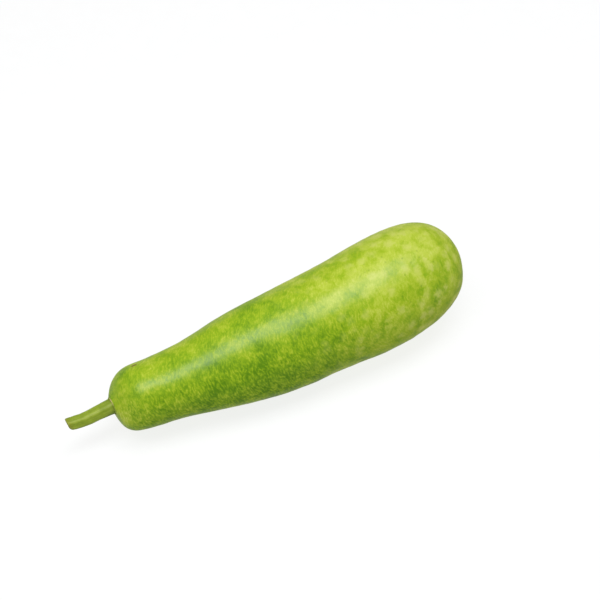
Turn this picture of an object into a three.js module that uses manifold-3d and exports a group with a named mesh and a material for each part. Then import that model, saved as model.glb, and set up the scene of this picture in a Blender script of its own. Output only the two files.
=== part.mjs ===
// A bottle gourd with its cut stalk, lying on its belly.
// Millimetres, +Z up, the stalk towards -X and the blossom end towards +X.
import * as THREE from 'three';
import { mergeVertices } from 'three/addons/utils/BufferGeometryUtils.js';
import Module from 'manifold-3d';

// Fruit: distances run along its axis from the pole at the neck
const FRUIT_LENGTH = 310;
const NECK_CAP = 34.3;
const NECK_POWER = 2.13;
const BLOSSOM_CAP = 95.2;
const BLOSSOM_POWER = 2.44;
const SIDEWAYS_BOW = -10.6;

// The end of the neck sags below the stalk's root: the sag grows within the first distance from
// the socket's lip and has faded out again at about the second one
const NECK_SAG = 5.7;
const SAG_GROWS_WITHIN = 1.5;
const SAG_ENDS_AT = 12.8;

// The axis also drops towards the other pole, over this distance
const BLOSSOM_DROP = 2;
const DROP_LENGTH = 25;

// Radius of the body at each distance, before the two ends are rounded off
const BODY_AT = [0, 31, 62, 99, 140, 180, 220, 260, 310];
const BODY_RADIUS = [31.2, 26.6, 29.0, 35.4, 39.9, 41.6, 44.7, 47.2, 53.0];

// Gentle swellings of the skin: height, waves along the fruit, waves around it, and turn
const SWELLINGS = [
  { height: 0.45, along: 1.5, around: 2, turn: 0.87 },
  { height: 0.3, along: 2.5, around: 3, turn: 2.5 },
  { height: 0.2, along: 4, around: 1, turn: 5.33 },
];
const SWELLING_FADE = 30;

// The underside is fuller where the fruit lies: by how much, where and over what length along the
// fruit, and in what direction and how widely around it
const BELLY_FULLNESS = 1.8;
const BELLY_AT = 182;
const BELLY_LENGTH = 30;
const BELLY_TURN = THREE.MathUtils.degToRad(-70);
const BELLY_SPREAD = 0.14;

// Socket that the stalk stands in, and the scar that the flower leaves
const SOCKET_LIP_AT = 0.6;
const SOCKET_DEPTH = 1.4;
const SCAR_EDGE_AT = 0.28;
const SCAR_DEPTH = 0.9;
const SCAR_BUTTON_RADIUS = 2.4;
const SCAR_BUTTON_HEIGHT = 0.7;

// Rest: the axis climbs towards the thick end, and the belly is pressed flat where it lies
const REST_TILT = THREE.MathUtils.degToRad(2.8);
const FLAT_DEPTH = 0.6;

// Stalk: it leaves the neck along -X, and its centre line dips a little and then turns up.
// Distances run along it from the pole of the neck.
const STALK_GAP = 0.3;
const STALK_LENGTH = 36.1;
const STALK_AT = [0, 11.5, 23, STALK_LENGTH];
const STALK_RISE = [0, -0.4, -0.8, 1.7];
const STALK_BASE_RADIUS = 5.9;
const STALK_TIP_RADIUS = 4.9;
const STALK_FLARE = 0.3;
const STALK_FLARE_LENGTH = 3;
const STALK_RIDGES = 5;
const STALK_RIDGE_HEIGHT = 0.22;
const STALK_RIDGE_TURN = THREE.MathUtils.degToRad(64);
const STALK_CUT_SLANT = THREE.MathUtils.degToRad(17);
const STALK_SLANT_POWER = 4;
const STALK_CUT_ROUNDING = 0.9;
const STALK_CUT_BULGE = 0.3;

// Fineness of the facets
const FRUIT_SIDES = 64;
const FRUIT_RINGS = 46;
const STALK_SIDES = 40;
const STALK_RINGS = 14;
const MERGE_WITHIN = 1e-4;

// Smooth curve through the points (at[i], value[i])
function smoothThrough(at, value, x) {
  const last = at.length - 1;
  const slope = at.map((_, i) => {
    const before = Math.max(i - 1, 0);
    const after = Math.min(i + 1, last);
    return (value[after] - value[before]) / (at[after] - at[before]);
  });
  let i = 0;
  while (i < last - 1 && x >= at[i + 1]) i += 1;
  const step = at[i + 1] - at[i];
  const t = (x - at[i]) / step;
  const t2 = t * t;
  const t3 = t2 * t;
  return (2 * t3 - 3 * t2 + 1) * value[i] + (t3 - 2 * t2 + t) * step * slope[i]
    + (3 * t2 - 2 * t3) * value[i + 1] + (t3 - t2) * step * slope[i + 1];
}

// 0 at the pole and 1 from the cap's length onwards, round like a superellipse
function roundedEnd(distance, length, power) {
  if (distance >= length) return 1;
  return (1 - (1 - distance / length) ** power) ** (1 / power);
}

function fruitRadius(s) {
  const neck = roundedEnd(s, NECK_CAP, NECK_POWER);
  const blossom = roundedEnd(FRUIT_LENGTH - s, BLOSSOM_CAP, BLOSSOM_POWER);
  return smoothThrough(BODY_AT, BODY_RADIUS, s) * neck * blossom;
}

function swelling(s, angle) {
  const turns = 2 * Math.PI * s / FRUIT_LENGTH;
  const fade = Math.min(1, s / SWELLING_FADE, (FRUIT_LENGTH - s) / SWELLING_FADE);
  return SWELLINGS.reduce((total, { height, along, around, turn }) => {
    const wave = Math.sin(along * turns + turn) * Math.cos(around * angle + turn);
    return total + fade * height * wave;
  }, 0);
}

function bellyFullness(s, angle) {
  const along = Math.exp(-(((s - BELLY_AT) / BELLY_LENGTH) ** 2));
  const around = Math.exp((Math.cos(angle - BELLY_TURN) - 1) / BELLY_SPREAD);
  return BELLY_FULLNESS * along * around;
}

function fruitAxis(s) {
  const fromMiddle = 2 * s / FRUIT_LENGTH - 1;
  const beyondLip = Math.max(s - SOCKET_LIP_AT, 0);
  const sag = (1 - Math.exp(-beyondLip / SAG_GROWS_WITHIN)) * Math.exp(-((s / SAG_ENDS_AT) ** 2));
  const drop = Math.exp(-(((FRUIT_LENGTH - s) / DROP_LENGTH) ** 2));
  const sideways = SIDEWAYS_BOW * (1 - fromMiddle ** 2);
  return new THREE.Vector3(s, sideways, -NECK_SAG * sag - BLOSSOM_DROP * drop);
}

// A closed skin over rings of points, with a point at each end
function closedSkin(start, rings, end) {
  const sides = rings[0].length;
  const points = [start, ...rings.flat(), end];
  const endIndex = points.length - 1;
  const index = [];
  const at = (ring, side) => 1 + ring * sides + side % sides;
  for (let side = 0; side < sides; side += 1) {
    index.push(0, at(0, side + 1), at(0, side));
    index.push(endIndex, at(rings.length - 1, side), at(rings.length - 1, side + 1));
    for (let ring = 0; ring < rings.length - 1; ring += 1) {
      const a = at(ring, side);
      const b = at(ring, side + 1);
      const c = at(ring + 1, side + 1);
      const d = at(ring + 1, side);
      index.push(a, b, c, a, c, d);
    }
  }
  const geometry = new THREE.BufferGeometry().setFromPoints(points);
  geometry.setIndex(index);
  return geometry;
}

// Ring of the fruit at distance s, drawn in or out to the given radius
function fruitRing(s, radius) {
  return Array.from({ length: FRUIT_SIDES }, (_, side) => {
    const angle = 2 * Math.PI * side / FRUIT_SIDES;
    const reach = radius + swelling(s, angle) + bellyFullness(s, angle);
    const spoke = new THREE.Vector3(0, reach * Math.cos(angle), reach * Math.sin(angle));
    return fruitAxis(s).add(spoke);
  });
}

function fruitGeometry() {
  const first = SOCKET_LIP_AT;
  const last = FRUIT_LENGTH - SCAR_EDGE_AT;
  const scarFloor = last - SCAR_DEPTH;
  const scarRadius = fruitRadius(last);

  const skin = Array.from({ length: FRUIT_RINGS }, (_, i) => {
    const turn = Math.PI * i / (FRUIT_RINGS - 1);
    const s = first + (last - first) * (1 - Math.cos(turn)) / 2;
    return fruitRing(s, fruitRadius(s));
  });
  const intoFruit = new THREE.Vector3(SOCKET_DEPTH, 0, 0);
  const socket = fruitRing(first, fruitRadius(first)).map((point) => point.add(intoFruit));
  const socketMiddle = fruitAxis(first).add(intoFruit);
  const scar = [
    fruitRing(scarFloor, (scarRadius + SCAR_BUTTON_RADIUS) / 2),
    fruitRing(scarFloor, SCAR_BUTTON_RADIUS),
  ];
  const button = fruitAxis(scarFloor + SCAR_BUTTON_HEIGHT);
  const geometry = closedSkin(socketMiddle, [socket, ...skin, ...scar], button);
  return geometry.rotateY(-REST_TILT);
}

// Centre of the stalk at distance d from the pole of the neck, which is negative inside the socket
function stalkCentre(d) {
  return new THREE.Vector3(-d, 0, smoothThrough(STALK_AT, STALK_RISE, Math.max(d, 0)));
}

function stalkRadius(d) {
  const flare = STALK_FLARE * Math.exp(-((d / STALK_FLARE_LENGTH) ** 2));
  return THREE.MathUtils.lerp(STALK_BASE_RADIUS, STALK_TIP_RADIUS, Math.max(d, 0) / STALK_LENGTH) + flare;
}

// Ring of the stalk, square to its centre line but for the slant, and moved ahead along the line
function stalkRing(d, radius, slant, lift) {
  const step = 0.5;
  const ahead = stalkCentre(d + step).sub(stalkCentre(d - step)).normalize();
  const across = new THREE.Vector3(0, -1, 0);
  const upward = new THREE.Vector3().crossVectors(ahead, across);
  return Array.from({ length: STALK_SIDES }, (_, side) => {
    const angle = 2 * Math.PI * side / STALK_SIDES;
    const ridge = Math.cos(STALK_RIDGES * (angle - STALK_RIDGE_TURN));
    const reach = radius + STALK_RIDGE_HEIGHT * ridge;
    const up = reach * Math.sin(angle);
    return stalkCentre(d)
      .addScaledVector(across, reach * Math.cos(angle))
      .addScaledVector(upward, up)
      .addScaledVector(ahead, up * Math.tan(slant) + lift);
  });
}

function stalkGeometry() {
  const foot = -(SOCKET_LIP_AT + SOCKET_DEPTH - STALK_GAP);
  const rings = Array.from({ length: STALK_RINGS }, (_, i) => {
    const t = i / (STALK_RINGS - 1);
    const d = THREE.MathUtils.lerp(foot, STALK_LENGTH, t);
    return stalkRing(d, stalkRadius(d), STALK_CUT_SLANT * t ** STALK_SLANT_POWER, 0);
  });
  const cutRadius = STALK_TIP_RADIUS - STALK_CUT_ROUNDING;
  const cut = stalkRing(STALK_LENGTH, cutRadius, STALK_CUT_SLANT, STALK_CUT_BULGE);
  const middle = cut.reduce((sum, point) => sum.add(point), new THREE.Vector3()).divideScalar(cut.length);
  return closedSkin(stalkCentre(foot), [...rings, cut], middle).rotateY(-REST_TILT);
}

function toSolid(wasm, geometry) {
  const merged = mergeVertices(geometry, MERGE_WITHIN);
  const mesh = new wasm.Mesh({
    numProp: 3,
    vertProperties: new Float32Array(merged.attributes.position.array),
    triVerts: new Uint32Array(merged.index.array),
  });
  return new wasm.Manifold(mesh);
}

function fromSolid(solid) {
  const mesh = solid.getMesh();
  const geometry = new THREE.BufferGeometry();
  geometry.setAttribute('position', new THREE.BufferAttribute(mesh.vertProperties, 3));
  geometry.setIndex(new THREE.BufferAttribute(mesh.triVerts, 1));
  return geometry;
}

const wasm = await Module();
wasm.setup();

const fruitSkin = fruitGeometry();
const stalkSkin = stalkGeometry();

// Press the belly flat: everything below the surface that it lies on is cut away
fruitSkin.computeBoundingBox();
const floor = fruitSkin.boundingBox.min.z + FLAT_DEPTH;
const belowFloor = new THREE.BoxGeometry(2 * FRUIT_LENGTH, FRUIT_LENGTH, 2 * FLAT_DEPTH);
belowFloor.deleteAttribute('normal');
belowFloor.deleteAttribute('uv');
belowFloor.translate(FRUIT_LENGTH / 2, 0, floor - FLAT_DEPTH);
const fruitSolid = toSolid(wasm, fruitSkin).subtract(toSolid(wasm, belowFloor));

const skinMaterial = new THREE.MeshStandardMaterial({ color: 0x9dba40, roughness: 0.42, metalness: 0 });
const stalkMaterial = new THREE.MeshStandardMaterial({ color: 0x93a63c, roughness: 0.6, metalness: 0 });

const fruit = new THREE.Mesh(fromSolid(fruitSolid), skinMaterial);
fruit.name = 'fruit';
const stalk = new THREE.Mesh(stalkSkin, stalkMaterial);
stalk.name = 'stalk';

const gourd = new THREE.Group();
gourd.add(fruit, stalk);

// Origin at the middle of the underside of the whole gourd's box
const box = new THREE.Box3().setFromObject(gourd);
const middle = box.getCenter(new THREE.Vector3());
gourd.position.set(-middle.x, -middle.y, -floor);

export default gourd;
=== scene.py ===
"""A bottle gourd on its belly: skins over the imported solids, their materials and a plain studio."""

import math

import bpy
import numpy as np
from mathutils import Matrix, Vector


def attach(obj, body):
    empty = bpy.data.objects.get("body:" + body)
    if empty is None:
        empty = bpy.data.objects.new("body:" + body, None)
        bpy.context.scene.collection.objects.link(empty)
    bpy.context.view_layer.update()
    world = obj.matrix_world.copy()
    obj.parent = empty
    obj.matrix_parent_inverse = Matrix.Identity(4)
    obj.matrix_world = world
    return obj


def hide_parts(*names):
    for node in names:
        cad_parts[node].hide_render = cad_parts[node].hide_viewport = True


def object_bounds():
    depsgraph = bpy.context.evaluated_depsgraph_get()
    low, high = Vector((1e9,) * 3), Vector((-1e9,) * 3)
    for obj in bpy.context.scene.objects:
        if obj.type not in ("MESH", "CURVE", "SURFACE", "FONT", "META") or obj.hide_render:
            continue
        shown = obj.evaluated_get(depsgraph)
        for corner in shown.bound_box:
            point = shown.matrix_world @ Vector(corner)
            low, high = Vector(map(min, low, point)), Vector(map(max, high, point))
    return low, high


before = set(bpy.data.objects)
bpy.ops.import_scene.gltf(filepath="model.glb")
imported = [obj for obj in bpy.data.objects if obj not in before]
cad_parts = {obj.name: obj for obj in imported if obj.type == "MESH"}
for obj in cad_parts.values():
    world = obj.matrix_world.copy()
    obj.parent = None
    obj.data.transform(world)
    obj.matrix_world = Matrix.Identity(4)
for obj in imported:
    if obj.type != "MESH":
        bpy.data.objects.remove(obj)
cad_low, cad_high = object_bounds()

MM = 0.001

# Fruit, in millimetres: the same form as the solid that it stands for
FRUIT_LENGTH = 310.0
NECK_CAP = 34.3
NECK_POWER = 2.13
BLOSSOM_CAP = 95.2
BLOSSOM_POWER = 2.44
SIDEWAYS_BOW = -10.6
NECK_SAG = 5.7
SAG_GROWS_WITHIN = 1.5
SAG_ENDS_AT = 12.8
BLOSSOM_DROP = 2.0
DROP_LENGTH = 25.0
BODY_AT = [0, 31, 62, 99, 140, 180, 220, 260, 310]
BODY_RADIUS = [31.2, 26.6, 29.0, 35.4, 39.9, 41.6, 44.7, 47.2, 53.0]
# Each swelling's height, waves along, waves around and turn
SWELLINGS = [(0.45, 1.5, 2, 0.87), (0.3, 2.5, 3, 2.5), (0.2, 4.0, 1, 5.33)]
SWELLING_FADE = 30.0
BELLY_FULLNESS = 1.8
BELLY_AT = 182.0
BELLY_LENGTH = 30.0
BELLY_TURN = math.radians(-70)
BELLY_SPREAD = 0.14
SOCKET_LIP_AT = 0.6
SOCKET_DEPTH = 1.4
SOCKET_WALL_FROM = 0.6
SCAR_EDGE_AT = 0.28
SCAR_DEPTH = 0.9
SCAR_STEP_WIDTH = 1.8
SCAR_BUTTON_RADIUS = 2.4
SCAR_BUTTON_HEIGHT = 0.7
SCAR_RING_SPACING = 1.1
SCAR_RING_HEIGHT = 0.08
REST_TILT = math.radians(2.8)
FLAT_DEPTH = 0.6

# Relief of the skin: wavelength, height and seed of each kind, how far all of it is sunk, and how
# far from the ends it fades out
SKIN_RELIEF = [(30.0, 0.13, 11), (9.0, 0.04, 12)]
RELIEF_INSET = 0.03
RELIEF_FADE = 12.0

# Stalk, in millimetres
STALK_LENGTH = 36.1
STALK_AT = [0, 11.5, 23, STALK_LENGTH]
STALK_RISE = [0, -0.4, -0.8, 1.7]
STALK_BASE_RADIUS = 5.9
STALK_TIP_RADIUS = 4.9
STALK_FLARE = 0.3
STALK_FLARE_LENGTH = 3.0
STALK_RIDGES = 5
STALK_RIDGE_HEIGHT = 0.22
STALK_RIDGE_TURN = math.radians(64)
STALK_GAP = 0.3
STALK_CUT_SLANT = math.radians(17)
STALK_SLANT_POWER = 4
STALK_CUT_ROUNDING = 0.6
STALK_CUT_WEAR = 2.2
WEAR_POWER = 3
RIM_BLEND_POWER = 4
WORN_SIDE = math.radians(-46)
STALK_FIBRES = 46
STALK_FIBRE_HEIGHT = 0.05
STALK_FIBRE_DRIFT = 0.11
STALK_FIBRE_TURNS = 7
BUNDLES = 10
BUNDLE_RADIUS = 3.3
BUNDLE_WIDTH = 0.6
BUNDLE_HEIGHT = 0.12
PITH_RADIUS = 1.9
PITH_DEPTH = 0.5
STALK_FOOT = -(SOCKET_LIP_AT + SOCKET_DEPTH - STALK_GAP)

# Relief of the stalk: wavelength, height and seed
STALK_RELIEF = (7.0, 0.05, 22)

# Corky collar in the gap between the stalk and the lip of the socket, in millimetres
COLLAR_RADIUS = 6.75
COLLAR_THICKNESS = 0.55
COLLAR_AT = 0.8
# Two sets of lumps: share of the thickness, number round the collar and turn
COLLAR_LUMPS = [(0.18, 9, 0.7), (0.12, 23, 0.0)]

# Fineness of the visible meshes
FRUIT_SIDES = 280
FRUIT_RINGS = 300
SOCKET_RINGS = 10
SCAR_RINGS = 16
STALK_SIDES = 184
STALK_RINGS = 110
RIM_RINGS = 8
CUT_RINGS = 22
COLLAR_SIDES = 14
COLLAR_STEPS = 150

# Radius of each innermost ring, as a share of the outermost
SOCKET_INNERMOST = 0.05
SCAR_INNERMOST = 0.03
CUT_INNERMOST = 0.02

# The photo's view: the camera stands this way round the gourd and this far from what it looks at
VIEW_AZIMUTH = math.radians(-29.08)
VIEW_ELEVATION = math.radians(48)
VIEW_DISTANCE = 1.125
LOOK_AT = Vector((0.03265, 0.01509, 0.05686))
LENS_MM = 85
SENSOR_MM = 36

# Floor, with its drop and size in metres, and the light all round
FLOOR_DROP = 0.0002
FLOOR_SIZE = 40.0
FLOOR_SHADE = 0.2
FLOOR_UNEVENNESS = 0.04
PAPER_FINENESS = 60.0
FLOOR_GLOW = 0.81
SKY = 0.36
GROUND = 0.76
HORIZON_BLUR = 0.35
SIDE_GLOW = 0.46
WHITE = (1.0, 1.0, 1.0, 1.0)

# What the rind mirrors
MIRRORED_ROOM = 0.03
MIRRORED_SKY = 0.3
MIRRORED_FLOOR = 0.4
MIRROR_TINT = (1.0, 1.0, 0.8, 1.0)

# One long soft light above
KEY_PLACE = Vector((-0.05, -0.1, 1.12))
KEY_LENGTH = 1.4
KEY_WIDTH = 0.52
KEY_WATTS = 10.6
KEY_TINT = (0.95, 0.975, 1.0)


# Form of the fruit and the stalk

def smooth_through(at, value, x):
    """Smooth curve through the points (at, value), read at the distances x."""
    at = np.asarray(at, float)
    value = np.asarray(value, float)
    slope = np.empty_like(value)
    slope[1:-1] = (value[2:] - value[:-2]) / (at[2:] - at[:-2])
    slope[0] = (value[1] - value[0]) / (at[1] - at[0])
    slope[-1] = (value[-1] - value[-2]) / (at[-1] - at[-2])
    i = np.clip(np.searchsorted(at, x, side="right") - 1, 0, len(at) - 2)
    step = at[i + 1] - at[i]
    t = (x - at[i]) / step
    t2 = t * t
    t3 = t2 * t
    return (
        (2 * t3 - 3 * t2 + 1) * value[i]
        + (t3 - 2 * t2 + t) * step * slope[i]
        + (3 * t2 - 2 * t3) * value[i + 1]
        + (t3 - t2) * step * slope[i + 1]
    )


def rounded_end(distance, length, power):
    """0 at the pole and 1 from the cap's length onwards, round like a superellipse."""
    reach = np.clip(distance / length, 0, 1)
    return (1 - (1 - reach) ** power) ** (1 / power)


def fruit_radius(s):
    body = smooth_through(BODY_AT, BODY_RADIUS, s)
    neck = rounded_end(s, NECK_CAP, NECK_POWER)
    blossom = rounded_end(FRUIT_LENGTH - s, BLOSSOM_CAP, BLOSSOM_POWER)
    return body * neck * blossom


def swelling(s, angle):
    turns = 2 * math.pi * s / FRUIT_LENGTH
    fade = np.minimum(1, np.minimum(s, FRUIT_LENGTH - s) / SWELLING_FADE)
    total = 0
    for height, along, around, turn in SWELLINGS:
        total = total + height * np.sin(along * turns + turn) * np.cos(around * angle + turn)
    return fade * total


def belly_fullness(s, angle):
    along = np.exp(-(((s - BELLY_AT) / BELLY_LENGTH) ** 2))
    around = np.exp((np.cos(angle - BELLY_TURN) - 1) / BELLY_SPREAD)
    return BELLY_FULLNESS * along * around


def fruit_axis(s):
    from_middle = 2 * s / FRUIT_LENGTH - 1
    beyond_lip = np.maximum(s - SOCKET_LIP_AT, 0)
    sag = (1 - np.exp(-beyond_lip / SAG_GROWS_WITHIN)) * np.exp(-((s / SAG_ENDS_AT) ** 2))
    drop = np.exp(-(((FRUIT_LENGTH - s) / DROP_LENGTH) ** 2))
    sideways = SIDEWAYS_BOW * (1 - from_middle**2)
    return np.stack([s, sideways, -NECK_SAG * sag - BLOSSOM_DROP * drop], -1)


def fruit_ring(s, radius, angle):
    """Points of the fruit at distances s and angles round its axis, and their spokes from the axis."""
    reach = radius + swelling(s, angle) + belly_fullness(s, angle)
    spoke = np.stack([0 * reach, reach * np.cos(angle), reach * np.sin(angle)], -1)
    return fruit_axis(s) + spoke, spoke


def stalk_centre(d):
    """Centre of the stalk at distance d from the neck's pole, which is negative inside the socket."""
    rise = smooth_through(STALK_AT, STALK_RISE, np.maximum(d, 0))
    return np.stack([-d, 0 * d, rise], -1)


def stalk_radius(d):
    flare = STALK_FLARE * np.exp(-((d / STALK_FLARE_LENGTH) ** 2))
    along = np.maximum(d, 0) / STALK_LENGTH
    return STALK_BASE_RADIUS + (STALK_TIP_RADIUS - STALK_BASE_RADIUS) * along + flare


def stalk_ring(d, radius, slant, lift, angle):
    """Points round the stalk's centre line at d, slanted as the cut is and moved ahead by lift."""
    step = 0.5
    ahead = stalk_centre(d + step) - stalk_centre(d - step)
    ahead /= np.linalg.norm(ahead, axis=-1, keepdims=True)
    across = np.array([0.0, -1.0, 0.0])
    upward = np.cross(ahead, across)
    up = radius * np.sin(angle)
    forward = up * np.tan(slant) + lift
    beside = across * (radius * np.cos(angle))[..., None]
    return stalk_centre(d) + beside + upward * up[..., None] + ahead * forward[..., None]


def tilt_to_rest(points):
    """Turns the gourd about Y so that its axis climbs towards the thick end."""
    c = math.cos(REST_TILT)
    s = math.sin(REST_TILT)
    x, y, z = np.moveaxis(points, -1, 0)
    return np.stack([c * x - s * z, y, s * x + c * z], -1)


def uneven(points, wavelength, height, seed):
    """Gentle unevenness: waves of about one length that run every way, from a seeded draw."""
    waves = 36
    draw = np.random.default_rng(seed)
    total = np.zeros(points.shape[:-1])
    for _ in range(waves):
        heading = draw.normal(size=3)
        heading /= np.linalg.norm(heading)
        length = wavelength * draw.uniform(0.7, 1.4)
        total += np.sin(points @ heading * (2 * math.pi / length) + draw.uniform(0, 2 * math.pi))
    return height * total / math.sqrt(waves / 2)


def smooth_step(x):
    x = np.clip(x, 0, 1)
    return x * x * (3 - 2 * x)


def around(sides):
    return np.linspace(0, 2 * math.pi, sides, endpoint=False)[None, :]


# Place of the gourd in the frame, by the rule that the solids follow

def skin_distances():
    """Distances along the fruit from the socket's lip to the scar's edge, closest at the ends."""
    first = SOCKET_LIP_AT
    last = FRUIT_LENGTH - SCAR_EDGE_AT
    return first + (last - first) * (1 - np.cos(np.linspace(0, math.pi, FRUIT_RINGS))) / 2


def place_in_frame():
    """What to add to a tilted point, so that the box's underside is centred on the origin."""
    s = skin_distances()[:, None]
    points, _ = fruit_ring(s, fruit_radius(s), around(FRUIT_SIDES))
    low = tilt_to_rest(points).min((0, 1))
    high = tilt_to_rest(points).max((0, 1))
    middle_y = (low[1] + high[1]) / 2
    return np.array([cad_high.x / MM - high[0], -middle_y, -(low[2] + FLAT_DEPTH)])


PLACE = place_in_frame()


def to_frame(points):
    """Metres in the frame, kept inside the solids' box and above the surface that they lie on."""
    placed = (tilt_to_rest(points) + PLACE) * MM
    return np.clip(placed, np.array(cad_low), np.array(cad_high))


# Meshes

def add_piece(name, points, faces, attributes):
    """A smooth piece from points in millimetres, with a vector attribute for each name and values."""
    mesh = bpy.data.meshes.new(name)
    mesh.from_pydata(to_frame(points).tolist(), [], faces)
    for key, values in attributes.items():
        layer = mesh.attributes.new(key, "FLOAT_VECTOR", "POINT")
        layer.data.foreach_set("vector", np.asarray(values, np.float32).ravel())
    mesh.polygons.foreach_set("use_smooth", [True] * len(mesh.polygons))
    piece = bpy.data.objects.new(name, mesh)
    bpy.context.scene.collection.objects.link(piece)
    return piece


def closed_skin(name, rings, attributes):
    """A closed piece over rings of points, whose first and last rings are drawn together to a point."""
    count, sides = rings.shape[:2]

    def with_poles(values):
        start = values[0].mean(0, keepdims=True)
        end = values[-1].mean(0, keepdims=True)
        return np.concatenate([start, values.reshape(-1, 3), end])

    last = 1 + count * sides
    ring = 1 + np.arange(count)[:, None] * sides + np.arange(sides)[None, :]
    after = np.roll(ring, -1, axis=1)
    quads = np.stack([ring[:-1], after[:-1], after[1:], ring[1:]], -1).reshape(-1, 4)
    near = [(0, int(b), int(a)) for a, b in zip(ring[0], after[0])]
    far = [(last, int(a), int(b)) for a, b in zip(ring[-1], after[-1])]
    padded = {key: with_poles(values) for key, values in attributes.items()}
    return add_piece(name, with_poles(rings), quads.tolist() + near + far, padded)


# Fruit

def socket_profile():
    """Distances and radii from the middle of the socket's floor out to its rounded lip."""
    lip = fruit_radius(np.array([SOCKET_LIP_AT]))[0]
    t = np.linspace(SOCKET_INNERMOST, 1, SOCKET_RINGS, endpoint=False)
    wall = smooth_step((t - SOCKET_WALL_FROM) / (1 - SOCKET_WALL_FROM))
    return SOCKET_LIP_AT + SOCKET_DEPTH * (1 - wall), lip * t


def scar_profile():
    """Distances and radii from the scar's edge in to its middle: a worn step, a floor and a button."""
    edge = FRUIT_LENGTH - SCAR_EDGE_AT
    rim = fruit_radius(np.array([edge]))[0]
    radius = rim * np.linspace(1, SCAR_INNERMOST, SCAR_RINGS + 1)[1:]
    step = smooth_step((rim - radius) / SCAR_STEP_WIDTH)
    within_button = SCAR_BUTTON_RADIUS + SCAR_STEP_WIDTH / 2 - radius
    button = SCAR_BUTTON_HEIGHT * smooth_step(within_button / SCAR_STEP_WIDTH)
    growth_rings = SCAR_RING_HEIGHT * np.cos(2 * math.pi * radius / SCAR_RING_SPACING)
    return edge - SCAR_DEPTH * step + button + growth_rings * step, radius


def skin_relief(points, to_neck, to_blossom):
    """How far the skin stands off the plain form, which is nothing at the ends."""
    fade = smooth_step(np.minimum(to_neck, to_blossom) / RELIEF_FADE)
    total = sum(uneven(points, length, height, seed) for length, height, seed in SKIN_RELIEF)
    return fade * (total - RELIEF_INSET)


def outward(points):
    """Directions square to a surface of rings, pointing out of it."""
    along = np.gradient(points, axis=0)
    about = np.roll(points, -1, 1) - np.roll(points, 1, 1)
    normal = np.cross(about, along)
    return normal / np.linalg.norm(normal, axis=-1, keepdims=True)


def fruit_piece():
    angle = around(FRUIT_SIDES)
    s_skin = skin_distances()
    s_socket, r_socket = socket_profile()
    s_scar, r_scar = scar_profile()
    s = np.concatenate([s_socket, s_skin, s_scar])
    radius = np.concatenate([r_socket, fruit_radius(s_skin), r_scar])
    stride = np.hypot(np.diff(s, prepend=s[0]), np.diff(radius, prepend=radius[0]))
    along = np.cumsum(stride)
    to_neck = (along - along[SOCKET_RINGS])[:, None]
    to_blossom = (along[-SCAR_RINGS - 1] - along)[:, None]

    points, spoke = fruit_ring(s[:, None], radius[:, None], angle)
    points = points + outward(points) * skin_relief(points, to_neck, to_blossom)[..., None]
    everywhere = np.ones_like(angle)
    skin_at = np.stack([along[:, None] * everywhere, spoke[..., 1], spoke[..., 2]], -1) * MM
    ends = np.stack(
        [
            to_neck * everywhere * MM,
            to_blossom * everywhere * MM,
            (s[:, None] / FRUIT_LENGTH) * everywhere,
        ],
        -1,
    )
    return closed_skin("gourd_fruit", points, {"skin_at": skin_at, "ends": ends})


def skin_place(s, degrees):
    """The value of skin_at, in metres, at one distance along and angle round the fruit."""
    angle = math.radians(degrees)
    s_skin = skin_distances()
    s_socket, r_socket = socket_profile()
    upto = s_skin[s_skin <= s]
    line_s = np.concatenate([s_socket, upto])
    line_r = np.concatenate([r_socket, fruit_radius(upto)])
    along = np.hypot(np.diff(line_s), np.diff(line_r)).sum()
    _, spoke = fruit_ring(np.array(s), fruit_radius(np.array([s]))[0], np.array(angle))
    return along * MM, spoke[1] * MM, spoke[2] * MM


# Stalk

def cut_rounding(angle):
    """How far the cut's rim is rounded off: most on its worn side, down and to the front."""
    worn = (1 + np.cos(angle - WORN_SIDE)) / 2
    return STALK_CUT_ROUNDING + STALK_CUT_WEAR * worn**WEAR_POWER


def stalk_profile(angle):
    """Distances, radii and share of cut face, from the foot to the cut's rim and in to its middle."""
    rounding = cut_rounding(angle)
    upto_rim = np.linspace(0, 1, STALK_RINGS)[:, None]
    turn = np.linspace(0, math.pi / 2, RIM_RINGS + 1)[1:, None]
    inward = np.linspace(1, CUT_INNERMOST, CUT_RINGS + 1)[1:, None]
    face = np.ones((CUT_RINGS, STALK_SIDES))

    d_skin = STALK_FOOT + (STALK_LENGTH - rounding - STALK_FOOT) * upto_rim
    d_rim = STALK_LENGTH - rounding * (1 - np.sin(turn))
    d = np.concatenate([d_skin, d_rim, STALK_LENGTH * face])
    radius = np.concatenate([
        stalk_radius(d_skin),
        stalk_radius(d_rim) - rounding * (1 - np.cos(turn)),
        (STALK_TIP_RADIUS - rounding) * inward,
    ])
    on_rim = np.sin(turn) ** RIM_BLEND_POWER * np.ones_like(angle)
    return d, radius, np.concatenate([0 * d_skin, on_rim, face])


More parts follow.
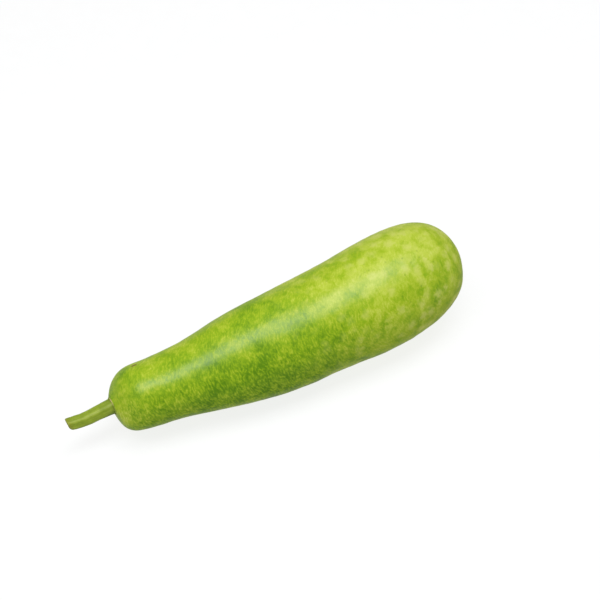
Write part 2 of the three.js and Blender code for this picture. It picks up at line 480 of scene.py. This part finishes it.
def stalk_piece():
    """A ridged and fibrous stalk, with a ring of bundles and a sunken pith in its cut face."""
    angle = around(STALK_SIDES)
    d, radius, on_face = stalk_profile(angle)
    t = (d - STALK_FOOT) / (STALK_LENGTH - STALK_FOOT)
    slant = STALK_CUT_SLANT * t**STALK_SLANT_POWER
    ridge = np.cos(STALK_RIDGES * (angle - STALK_RIDGE_TURN))
    drift = np.sin(STALK_FIBRE_DRIFT * d + STALK_FIBRE_TURNS * angle)
    fibres = np.cos(STALK_FIBRES * angle) * drift
    share = np.minimum(1, radius / STALK_TIP_RADIUS)
    reach = radius + share * STALK_RIDGE_HEIGHT * ridge + (1 - on_face) * STALK_FIBRE_HEIGHT * fibres

    ring_of_bundles = np.exp(-(((radius - BUNDLE_RADIUS) / BUNDLE_WIDTH) ** 2))
    bundles = BUNDLE_HEIGHT * ring_of_bundles * np.cos(BUNDLES * angle)
    pith = PITH_DEPTH * (1 - smooth_step(radius / PITH_RADIUS))
    points = stalk_ring(d, reach, slant, on_face * (bundles - pith), angle)
    relief = uneven(points, *STALK_RELIEF) * (1 - on_face)
    points = points + outward(points) * relief[..., None]

    stalk_at = np.stack([d, reach * np.cos(angle), reach * np.sin(angle)], -1) * MM
    marks = np.stack([(ridge + 1) / 2 * np.ones_like(d), on_face, t], -1)
    return closed_skin("gourd_stalk", points, {"stalk_at": stalk_at, "marks": marks})


def collar_piece():
    """A thin uneven ring of cork round the foot of the stalk."""
    turn = np.linspace(0, 2 * math.pi, COLLAR_STEPS, endpoint=False)[:, None]
    round_section = around(COLLAR_SIDES)
    lump = 1 + sum(share * np.sin(count * turn + start) for share, count, start in COLLAR_LUMPS)
    radius = COLLAR_RADIUS + COLLAR_THICKNESS * lump * np.cos(round_section)
    along = COLLAR_AT + COLLAR_THICKNESS * lump * np.sin(round_section)
    points = np.stack([along, radius * np.cos(turn), radius * np.sin(turn)], -1)
    ring = np.arange(COLLAR_STEPS * COLLAR_SIDES).reshape(COLLAR_STEPS, COLLAR_SIDES)
    on = np.roll(ring, -1, axis=0)
    quads = np.stack([ring, np.roll(ring, -1, 1), np.roll(on, -1, 1), on], -1).reshape(-1, 4)
    flat = points.reshape(-1, 3)
    return add_piece("stalk_collar", flat, quads.tolist(), {"stalk_at": flat * MM})


# Materials

def colour(red, green, blue):
    """A colour given as screen values from 0 to 255, for a shader socket."""
    def linear(value):
        value /= 255
        return value / 12.92 if value <= 0.04045 else ((value + 0.055) / 1.055) ** 2.4

    return linear(red), linear(green), linear(blue), 1.0


class Nodes:
    """Short calls that add nodes to the emptied tree of a material or a world."""

    def __init__(self, owner):
        owner.use_nodes = True
        self.owner = owner
        self.tree = owner.node_tree
        self.tree.nodes.clear()

    def add(self, kind, inputs, **settings):
        made = self.tree.nodes.new(kind)
        for key, value in settings.items():
            setattr(made, key, value)
        for key, value in inputs.items():
            if isinstance(value, bpy.types.NodeSocket):
                self.tree.links.new(value, made.inputs[key])
            else:
                made.inputs[key].default_value = value
        return made

    def attribute(self, name):
        return self.add("ShaderNodeAttribute", {}, attribute_name=name).outputs["Vector"]

    def parts(self, vector):
        split = self.add("ShaderNodeSeparateXYZ", {"Vector": vector})
        return split.outputs["X"], split.outputs["Y"], split.outputs["Z"]

    def joined(self, x, y, z):
        return self.add("ShaderNodeCombineXYZ", {"X": x, "Y": y, "Z": z}).outputs["Vector"]

    def maths(self, operation, a, b=0.0):
        made = self.add("ShaderNodeMath", {0: a, 1: b}, operation=operation)
        return made.outputs["Value"]

    def vector(self, operation, a, b):
        return self.add("ShaderNodeVectorMath", {0: a, 1: b}, operation=operation).outputs["Vector"]

    def unit(self, a):
        return self.add("ShaderNodeVectorMath", {0: a}, operation="NORMALIZE").outputs["Vector"]

    def dot(self, a, b):
        return self.add("ShaderNodeVectorMath", {0: a, 1: b}, operation="DOT_PRODUCT").outputs["Value"]

    def distance(self, a, b):
        return self.add("ShaderNodeVectorMath", {0: a, 1: b}, operation="DISTANCE").outputs["Value"]

    def distance_to_line(self, at, start, end):
        """Distance of a point from the straight line between two fixed ones."""
        start, end = Vector(start), Vector(end)
        length = (end - start).length
        ahead = (end - start) / length
        reach = self.dot(self.vector("SUBTRACT", at, start), ahead)
        reach = self.maths("MINIMUM", self.maths("MAXIMUM", reach, 0.0), length)
        nearest = self.vector("ADD", self.scaled(ahead, reach), start)
        return self.distance(at, nearest)

    def scaled(self, a, factor):
        made = self.add("ShaderNodeVectorMath", {0: a, "Scale": factor}, operation="SCALE")
        return made.outputs["Vector"]

    def noise(self, at, scale, detail=2.0, roughness=0.5):
        inputs = {"Vector": at, "Scale": scale, "Detail": detail, "Roughness": roughness}
        return self.add("ShaderNodeTexNoise", inputs).outputs["Fac"]

    def noise_vector(self, at, scale):
        inputs = {"Vector": at, "Scale": scale, "Detail": 1.0}
        return self.add("ShaderNodeTexNoise", inputs).outputs["Color"]

    def wandering(self, at, scale, reach):
        """The place, moved by up to about half the reach each way."""
        drift = self.vector("SUBTRACT", self.noise_vector(at, scale), (0.5, 0.5, 0.5))
        return self.vector("ADD", self.scaled(drift, reach), at)

    def cells(self, at, scale):
        made = self.add("ShaderNodeTexVoronoi", {"Vector": at, "Scale": scale})
        return made.outputs["Distance"], made.outputs["Color"]

    def between(self, value, low, high, to_low=0.0, to_high=1.0):
        """Smooth change from to_low to to_high as the value goes from low to high."""
        inputs = {
            "Value": value,
            "From Min": low,
            "From Max": high,
            "To Min": to_low,
            "To Max": to_high,
        }
        return self.add("ShaderNodeMapRange", inputs, interpolation_type="SMOOTHSTEP").outputs["Result"]

    def sum_about_half(self, terms):
        """A half, plus each (value, gain) pair's distance from a half times its gain."""
        total = 0.5
        for value, gain in terms:
            swing = self.maths("MULTIPLY", self.maths("SUBTRACT", value, 0.5), gain)
            total = self.maths("ADD", total, swing)
        return total

    def ramp(self, value, stops):
        made = self.add("ShaderNodeValToRGB", {"Fac": value})
        elements = made.color_ramp.elements
        while len(elements) < len(stops):
            elements.new(0.5)
        for element, (position, shade) in zip(elements, stops):
            element.position = position
            element.color = shade
        return made.outputs["Color"]

    def mix(self, amount, a, b):
        made = self.add("ShaderNodeMix", {"Factor": amount}, data_type="RGBA")
        for name, value in (("A", a), ("B", b)):
            socket = next(s for s in made.inputs if s.name == name and s.type == "RGBA")
            if isinstance(value, bpy.types.NodeSocket):
                self.tree.links.new(value, socket)
            else:
                socket.default_value = value
        return next(s for s in made.outputs if s.type == "RGBA")

    def outwards(self, at):
        """Direction from a piece's own axis to a place on it, square to the axis."""
        return self.unit(self.vector("MULTIPLY", at, (0.0, 1.0, 1.0)))

    def bump(self, height, strength, distance):
        inputs = {"Height": height, "Strength": strength, "Distance": distance}
        return self.add("ShaderNodeBump", inputs).outputs["Normal"]

    def finish(self, inputs):
        shader = self.add("ShaderNodeBsdfPrincipled", inputs)
        self.add("ShaderNodeOutputMaterial", {"Surface": shader.outputs["BSDF"]})
        return self.owner


# Rind

# A fineness is in waves or cells per metre, and a tone runs from 0 for deep green to 1 for pale
RIND_GREENS = [
    (0.10, colour(92, 137, 0)),
    (0.38, colour(135, 171, 5)),
    (0.55, colour(161, 185, 25)),
    (0.75, colour(184, 200, 62)),
    (0.95, colour(199, 209, 94)),
]
WARP_FINENESS = 75.0
WARP_REACH = 3.5 * MM
STREAK_LEAN = (1.0, -0.5, 0.42)
STREAK_FINENESS = (720.0, 310.0, 310.0)
MOTTLING_FINENESS = 42.0
BLOTCH_FINENESS = 130.0
GRAIN_FINENESS = 1500.0
MOTTLING_GAIN = 0.72
BLOTCH_GAIN = 0.55
GRAIN_GAIN = 0.35
# Streaks show more on the painted-shade side, down at the front, than on top and behind
STREAK_GAIN_ON_TOP_AND_BACK = 0.24
STREAK_GAIN_IN_PAINTED_SHADE = 0.38
RIPE_STREAK_GAIN = 0.5
RIPE_FROM = 0.35
RIPE_UPTO = 0.87
RIPE_PALENESS = 0.24
# Painted shade: the side turned down to the front, and how much greener and darker it is painted
PAINTED_SHADE_SIDE = (0.0, -0.85, -0.53)
PAINTED_SHADE_GREENNESS = 0.14
WAX_TINT = colour(226, 232, 160)

# Soft straw-coloured blotches towards the blossom end
STRAW = colour(202, 207, 104)
STRAW_FINENESS = 105.0
STRAW_EDGE_FINENESS = 300.0
STRAW_RAGGEDNESS = 6 * MM
STRAW_GAP_GREENNESS = 0.12

# Greener and paler patches: distance along in millimetres, angle round in degrees, size in
# millimetres and change of tone
# The second patch, paler at the neck end, is partly paler rind and partly painted light thrown up from
# the floor
PATCHES = [(268, 157, 16.0, -0.2), (4.5, 165, 15.0, 0.28), (106, 117, 20.0, 0.16)]

# A greener stretch before the middle: its place along the fruit and its reach each way, as shares
GREEN_STRETCH_AT = 0.34
GREEN_STRETCH_REACH = 0.2
GREEN_STRETCH_GREENNESS = 0.075

# Freckles, thicker towards the blossom end
FRECKLE_GREEN = colour(104, 136, 20)
FRECKLE_FINENESS = 210.0
FRECKLES_LEFT_OUT = 0.62

# A small healed scratch on the neck: distance along and angle round, in degrees, of its two ends
SCRATCH = [(26.2, 58.4), (28.6, 56.6)]
SCRATCH_WIDTH = 1.6 * MM
SCRATCH_EDGE_FINENESS = 700.0
SCRATCH_RAGGEDNESS = 1.2 * MM
SCRATCH_BROWN = colour(108, 66, 18)

# Blossom scar: where each colour begins and is full, counted from its edge and negative inside it
SCAR_CORK = [
    (0.32, colour(108, 84, 40)),
    (0.52, colour(154, 134, 74)),
    (0.7, colour(190, 174, 112)),
]
SCAR_PALE_EDGE = colour(186, 186, 92)
SCAR_DARK_MIDDLE = colour(88, 68, 34)
SCAR_GRAIN_FINENESS = 1100.0
FRAYING_FINENESS = 420.0
FRAYING_REACH = 5 * MM
PALE_EDGE_BEGINS = 3 * MM
CORK_BEGINS = -0.8 * MM
CORK_IS_FULL = -2.6 * MM
MIDDLE_BEGINS = -5 * MM
MIDDLE_IS_FULL = -7.5 * MM

# The pale ring where the stalk grows out
NECK_RING = colour(180, 188, 92)
NECK_RING_INNER = 0.2 * MM
NECK_RING_OUTER = 2.2 * MM


def streaks_over(n, warped):
    """Streaks that run round the fruit and lean, their lower ends towards the blossom."""
    _, y, z = n.parts(warped)
    leaning = n.joined(n.dot(warped, STREAK_LEAN), y, z)
    streak_at = n.vector("MULTIPLY", leaning, STREAK_FINENESS)
    return n.between(n.noise(streak_at, 1.0, 2.5, 0.6), 0.36, 0.72)


def painted_shade_side(n, warped):
    """1 on the side turned down to the front, which is painted greener and darker as shade, and 0
    behind.
    """
    return n.between(n.dot(n.outwards(warped), PAINTED_SHADE_SIDE), -0.4, 0.7)


def strawy(n, tone, warped, ripe):
    """The tone, greener between the straw-coloured blotches, and how much of them shows."""
    ragged = n.wandering(warped, STRAW_EDGE_FINENESS, STRAW_RAGGEDNESS)
    distance, draw = n.cells(ragged, STRAW_FINENESS)
    gaps = n.between(distance, 0.35, 0.8, 0.0, STRAW_GAP_GREENNESS)
    tone = n.maths("SUBTRACT", tone, n.maths("MULTIPLY", gaps, ripe))
    drawn = n.between(n.parts(draw)[0], 0.2, 0.7)
    blotch = n.maths("MULTIPLY", n.between(distance, 0.1, 0.6, 0.6, 0.0), drawn)
    return tone, n.maths("MULTIPLY", blotch, ripe)


def patched(n, tone, warped, share):
    """The tone with the greener stretch and the greener and paler patches, one of which is partly
    painted light.
    """
    from_stretch = n.maths("ABSOLUTE", n.maths("SUBTRACT", share, GREEN_STRETCH_AT))
    stretch = n.between(from_stretch, 0.03, GREEN_STRETCH_REACH, GREEN_STRETCH_GREENNESS, 0.0)
    tone = n.maths("SUBTRACT", tone, stretch)
    for s, degrees, size, change in PATCHES:
        from_patch = n.distance(warped, skin_place(s, degrees))
        tone = n.maths("ADD", tone, n.between(from_patch, 0.0, size * MM, change, 0.0))
    return tone


def freckled(n, base, at, share):
    distance, draw = n.cells(at, FRECKLE_FINENESS)
    spot = n.between(distance, 0.1, 0.24, 1.0, 0.0)
    chosen = n.maths("GREATER_THAN", n.parts(draw)[0], FRECKLES_LEFT_OUT)
    strength = n.between(share, 0.3, 0.9, 0.1, 0.35)
    freckles = n.maths("MULTIPLY", n.maths("MULTIPLY", spot, chosen), strength)
    return n.mix(freckles, base, FRECKLE_GREEN)


def scratched(n, base, at):
    ragged = n.wandering(at, SCRATCH_EDGE_FINENESS, SCRATCH_RAGGEDNESS)
    start, end = (skin_place(s, degrees) for s, degrees in SCRATCH)
    off_line = n.distance_to_line(ragged, start, end)
    scratch = n.between(off_line, SCRATCH_WIDTH * 0.3, SCRATCH_WIDTH, 0.95, 0.0)
    return n.mix(scratch, base, SCRATCH_BROWN)


def scarred(n, base, at, to_blossom):
    """The base colour with the cork of the blossom scar, and how corky it is at each place."""
    frayed = n.maths("SUBTRACT", n.noise(at, FRAYING_FINENESS, 3.0, 0.6), 0.5)
    to_edge = n.maths("ADD", to_blossom, n.maths("MULTIPLY", frayed, FRAYING_REACH))
    cork = n.between(to_edge, CORK_IS_FULL, CORK_BEGINS, 1.0, 0.0)
    pale_edge = n.between(to_edge, CORK_BEGINS, PALE_EDGE_BEGINS, 0.75, 0.0)
    middle = n.between(to_edge, MIDDLE_IS_FULL, MIDDLE_BEGINS, 0.7, 0.0)
    base = n.mix(pale_edge, base, SCAR_PALE_EDGE)
    grain = n.noise(at, SCAR_GRAIN_FINENESS, 3.0, 0.65)
    base = n.mix(cork, base, n.ramp(grain, SCAR_CORK))
    return n.mix(middle, base, SCAR_DARK_MIDDLE), cork


def rind_material():
    n = Nodes(bpy.data.materials.new("rind"))
    at = n.attribute("skin_at")
    to_neck, to_blossom, share = n.parts(n.attribute("ends"))
    warped = n.wandering(at, WARP_FINENESS, WARP_REACH)
    streaks = streaks_over(n, warped)
    mottling = n.noise(at, MOTTLING_FINENESS, 3.0, 0.55)
    blotches = n.noise(at, BLOTCH_FINENESS, 2.0, 0.55)
    grain = n.noise(at, GRAIN_FINENESS, 2.0, 0.6)
    # Painted shade falls on the side turned down to the front
    painted_shade = painted_shade_side(n, warped)

    # Paler, yellower and less streaky towards the blossom end
    ripe = n.between(share, RIPE_FROM, RIPE_UPTO)
    streak_gain_by_side = n.between(painted_shade, 0.1, 0.9, STREAK_GAIN_ON_TOP_AND_BACK, STREAK_GAIN_IN_PAINTED_SHADE)
    streak_gain = n.maths("MULTIPLY", streak_gain_by_side, n.between(ripe, 0.0, 1.0, 1.0, RIPE_STREAK_GAIN))
    tone = n.sum_about_half([
        (mottling, MOTTLING_GAIN),
        (blotches, BLOTCH_GAIN),
        (streaks, streak_gain),
        (grain, GRAIN_GAIN),
    ])
    tone = n.maths("ADD", tone, n.maths("MULTIPLY", ripe, RIPE_PALENESS))
    # Painted shade: greener and darker on the side turned down to the front
    tone = n.maths("SUBTRACT", tone, n.maths("MULTIPLY", painted_shade, PAINTED_SHADE_GREENNESS))

    tone, straw = strawy(n, tone, warped, ripe)
    base = n.ramp(patched(n, tone, warped, share), RIND_GREENS)
    base = n.mix(straw, base, STRAW)
    base = freckled(n, base, at, share)
    base = scratched(n, base, at)
    base, cork = scarred(n, base, at, to_blossom)
    neck_ring = n.between(to_neck, NECK_RING_INNER, NECK_RING_OUTER, 0.8, 0.0)
    base = n.mix(neck_ring, base, NECK_RING)

    relief = n.sum_about_half([(streaks, 0.8), (grain, 0.25), (blotches, 0.6)])
    gloss = n.sum_about_half([(streaks, 0.06), (blotches, 0.08)])
    roughness = n.maths("SUBTRACT", gloss, n.between(cork, 0.0, 1.0, 0.15, -0.3))
    return n.finish({
        "Base Color": base,
        "Roughness": roughness,
        "IOR": 1.47,
        "Sheen Weight": 0.2,
        "Sheen Roughness": 0.35,
        "Sheen Tint": WAX_TINT,
        "Normal": n.bump(relief, 0.1, 0.5 * MM),
    })


# Stalk

STALK_GREENS = [
    (0.15, colour(108, 131, 12)),
    (0.5, colour(137, 157, 28)),
    (0.85, colour(164, 180, 60)),
]
CUT_FACE = [
    (0.35, colour(96, 110, 26)),
    (0.55, colour(140, 140, 50)),
    (0.72, colour(192, 178, 84)),
]
# Painted shade under the neck
PAINTED_SHADE_UNDER_NECK = colour(100, 124, 8)
NEAR_CUT_OLIVE = colour(142, 138, 32)
# A painted highlight along the top ridge
PAINTED_HIGHLIGHT_LINE = colour(170, 182, 86)
WORN_CUT_GREEN = colour(92, 122, 8)
FIBRE_FINENESS = (70.0, 900.0, 900.0)
STALK_PATCH_FINENESS = 160.0
CUT_GRAIN_FINENESS = 1100.0


def to_side(turn):
    """Direction square to the stalk at an angle round it."""
    return 0.0, math.cos(turn), math.sin(turn)


def stalk_material():
    n = Nodes(bpy.data.materials.new("stalk"))
    at = n.attribute("stalk_at")
    ridge, on_face, share = n.parts(n.attribute("marks"))
    fibres = n.noise(n.vector("MULTIPLY", at, FIBRE_FINENESS), 1.0, 2.0, 0.6)
    patches = n.noise(at, STALK_PATCH_FINENESS, 2.0, 0.5)
    tone = n.sum_about_half([(fibres, 0.7), (patches, 0.7), (ridge, 0.08)])
    skin = n.ramp(tone, STALK_GREENS)

    # Painted shade: darker under the neck near the stalk's foot, and duller towards the cut
    outwards = n.outwards(at)
    below = n.between(n.parts(outwards)[2], 0.6, -0.4, 0.4, 1.0)
    painted_shade_near_neck = n.maths("MULTIPLY", n.between(share, 0.32, 0.06, 0.0, 0.85), below)
    skin = n.mix(painted_shade_near_neck, skin, PAINTED_SHADE_UNDER_NECK)
    skin = n.mix(n.between(share, 0.88, 1.0, 0.0, 0.5), skin, NEAR_CUT_OLIVE)

    # A painted highlight runs as a paler line along the ridge on top, and the worn side of the cut is
    # dark
    on_top = n.between(n.dot(outwards, to_side(STALK_RIDGE_TURN)), 0.982, 0.999)
    painted_highlight = n.maths("MULTIPLY", on_top, n.between(patches, 0.3, 0.65, 0.15, 0.45))
    skin = n.mix(painted_highlight, skin, PAINTED_HIGHLIGHT_LINE)
    worn = n.between(n.dot(outwards, to_side(WORN_SIDE)), 0.4, 0.95)
    worn = n.maths("MULTIPLY", worn, n.between(share, 0.92, 0.985, 0.0, 0.8))
    skin = n.mix(worn, skin, WORN_CUT_GREEN)

    face_grain = n.noise(at, CUT_GRAIN_FINENESS, 2.0, 0.6)
    base = n.mix(on_face, skin, n.ramp(face_grain, CUT_FACE))
    relief = n.sum_about_half([(fibres, 1.0), (face_grain, 0.5)])
    return n.finish({
        "Base Color": base,
        "Roughness": n.maths("ADD", n.maths("MULTIPLY", patches, 0.2), 0.46),
        "IOR": 1.42,
        "Sheen Weight": 0.15,
        "Sheen Roughness": 0.5,
        "Normal": n.bump(relief, 0.35, 0.4 * MM),
    })


# Cork of the collar

COLLAR_CORK = [
    (0.25, colour(164, 160, 82)),
    (0.55, colour(186, 176, 104)),
    (0.8, colour(202, 190, 128)),
]
# Green of the rind, darkened as painted shade at the junction
COLLAR_GREEN_AND_PAINTED_SHADE = colour(124, 142, 38)
COLLAR_GRAIN_FINENESS = 1300.0
COLLAR_PATCH_FINENESS = 260.0


def cork_material():
    """Corky on top of the collar, and round the rest of it a darker green that is partly painted shade
    where the stalk meets the neck.
    """
    n = Nodes(bpy.data.materials.new("cork"))
    at = n.attribute("stalk_at")
    grain = n.noise(at, COLLAR_GRAIN_FINENESS, 3.0, 0.6)
    patches = n.noise(at, COLLAR_PATCH_FINENESS, 2.0, 0.5)
    cork = n.ramp(n.sum_about_half([(grain, 1.0), (patches, 0.8)]), COLLAR_CORK)
    _, _, height = n.parts(n.outwards(at))
    base = n.mix(n.between(height, 0.98, 0.75, 0.0, 0.92), cork, COLLAR_GREEN_AND_PAINTED_SHADE)
    return n.finish({
        "Base Color": base,
        "Roughness": n.maths("ADD", n.maths("MULTIPLY", patches, 0.2), 0.6),
        "Normal": n.bump(grain, 0.5, 0.3 * MM),
    })


# Floor

def floor_material():
    n = Nodes(bpy.data.materials.new("floor"))
    at = n.add("ShaderNodeTexCoord", {}).outputs["Object"]
    paper = n.noise(at, PAPER_FINENESS, 3.0, 0.5)
    dark = FLOOR_SHADE * (1 - FLOOR_UNEVENNESS)
    light = FLOOR_SHADE * (1 + FLOOR_UNEVENNESS)
    base = n.ramp(paper, [(0.2, (dark, dark, dark, 1.0)), (0.8, (light, light, light, 1.0))])
    return n.finish({
        "Base Color": base,
        "Roughness": 0.9,
        "Specular IOR Level": 0.1,
        "Emission Color": WHITE,
        "Emission Strength": FLOOR_GLOW,
    })


# The gourd

fruit = fruit_piece()
fruit.data.materials.append(rind_material())
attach(fruit, "root")
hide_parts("fruit")

stalk = stalk_piece()
stalk.data.materials.append(stalk_material())
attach(stalk, "root")
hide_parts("stalk")

collar = collar_piece()
collar.data.materials.append(cork_material())
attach(collar, "root")


# Studio

def floor_plane():
    half = FLOOR_SIZE / 2
    mesh = bpy.data.meshes.new("floor")
    corners = [(-half, -half, 0), (half, -half, 0), (half, half, 0), (-half, half, 0)]
    mesh.from_pydata(corners, [], [(0, 1, 2, 3)])
    plane = bpy.data.objects.new("floor", mesh)
    plane.location = (0, 0, -FLOOR_DROP)
    plane.visible_diffuse = False
    plane.visible_glossy = False
    plane.data.materials.append(floor_material())
    bpy.context.scene.collection.objects.link(plane)
    return plane


def key_light():
    light = bpy.data.lights.new("key", "AREA")
    light.shape = "RECTANGLE"
    light.size = KEY_LENGTH
    light.size_y = KEY_WIDTH
    light.energy = KEY_WATTS
    light.color = KEY_TINT
    away = (KEY_PLACE - LOOK_AT).normalized()
    long_side = (Vector((1, 0, 0)) - away * away.x).normalized()
    turned = Matrix((long_side, away.cross(long_side), away)).transposed()
    lamp = bpy.data.objects.new("key", light)
    lamp.location = KEY_PLACE
    lamp.rotation_euler = turned.to_euler()
    bpy.context.scene.collection.objects.link(lamp)


def surroundings():
    """Soft light, more of it at both ends, and a dark room to mirror, pale above and behind."""
    world = bpy.data.worlds.new("studio")
    n = Nodes(world)
    x, y, z = n.parts(n.add("ShaderNodeTexCoord", {}).outputs["Generated"])
    sides = n.maths("MULTIPLY", n.maths("MULTIPLY", x, x), SIDE_GLOW)
    soft = n.maths("ADD", n.between(z, -HORIZON_BLUR, HORIZON_BLUR, GROUND, SKY), sides)
    behind = n.between(n.maths("SUBTRACT", y, z), 0.5, 1.3, MIRRORED_ROOM, MIRRORED_FLOOR)
    mirrored = n.maths("ADD", behind, n.between(z, 0.1, 0.7, 0.0, MIRRORED_SKY))
    mirrors = n.add("ShaderNodeLightPath", {}).outputs["Is Glossy Ray"]
    strength = n.between(mirrors, 0.0, 1.0, soft, mirrored)
    tint = n.mix(mirrors, WHITE, MIRROR_TINT)
    background = n.add("ShaderNodeBackground", {"Color": tint, "Strength": strength})
    n.add("ShaderNodeOutputWorld", {"Surface": background.outputs["Background"]})
    bpy.context.scene.world = world


def camera():
    flat = math.cos(VIEW_ELEVATION)
    back = Vector((
        math.sin(VIEW_AZIMUTH) * flat,
        -math.cos(VIEW_AZIMUTH) * flat,
        math.sin(VIEW_ELEVATION),
    ))
    lens = bpy.data.cameras.new("camera")
    lens.lens = LENS_MM
    lens.sensor_width = SENSOR_MM
    eye = bpy.data.objects.new("camera", lens)
    eye.location = LOOK_AT + back * VIEW_DISTANCE
    eye.rotation_euler = (-back).to_track_quat("-Z", "Y").to_euler()
    bpy.context.scene.collection.objects.link(eye)
    bpy.context.scene.camera = eye


floor_plane()
key_light()
surroundings()
camera()
bpy.context.scene.view_settings.view_transform = "Standard"
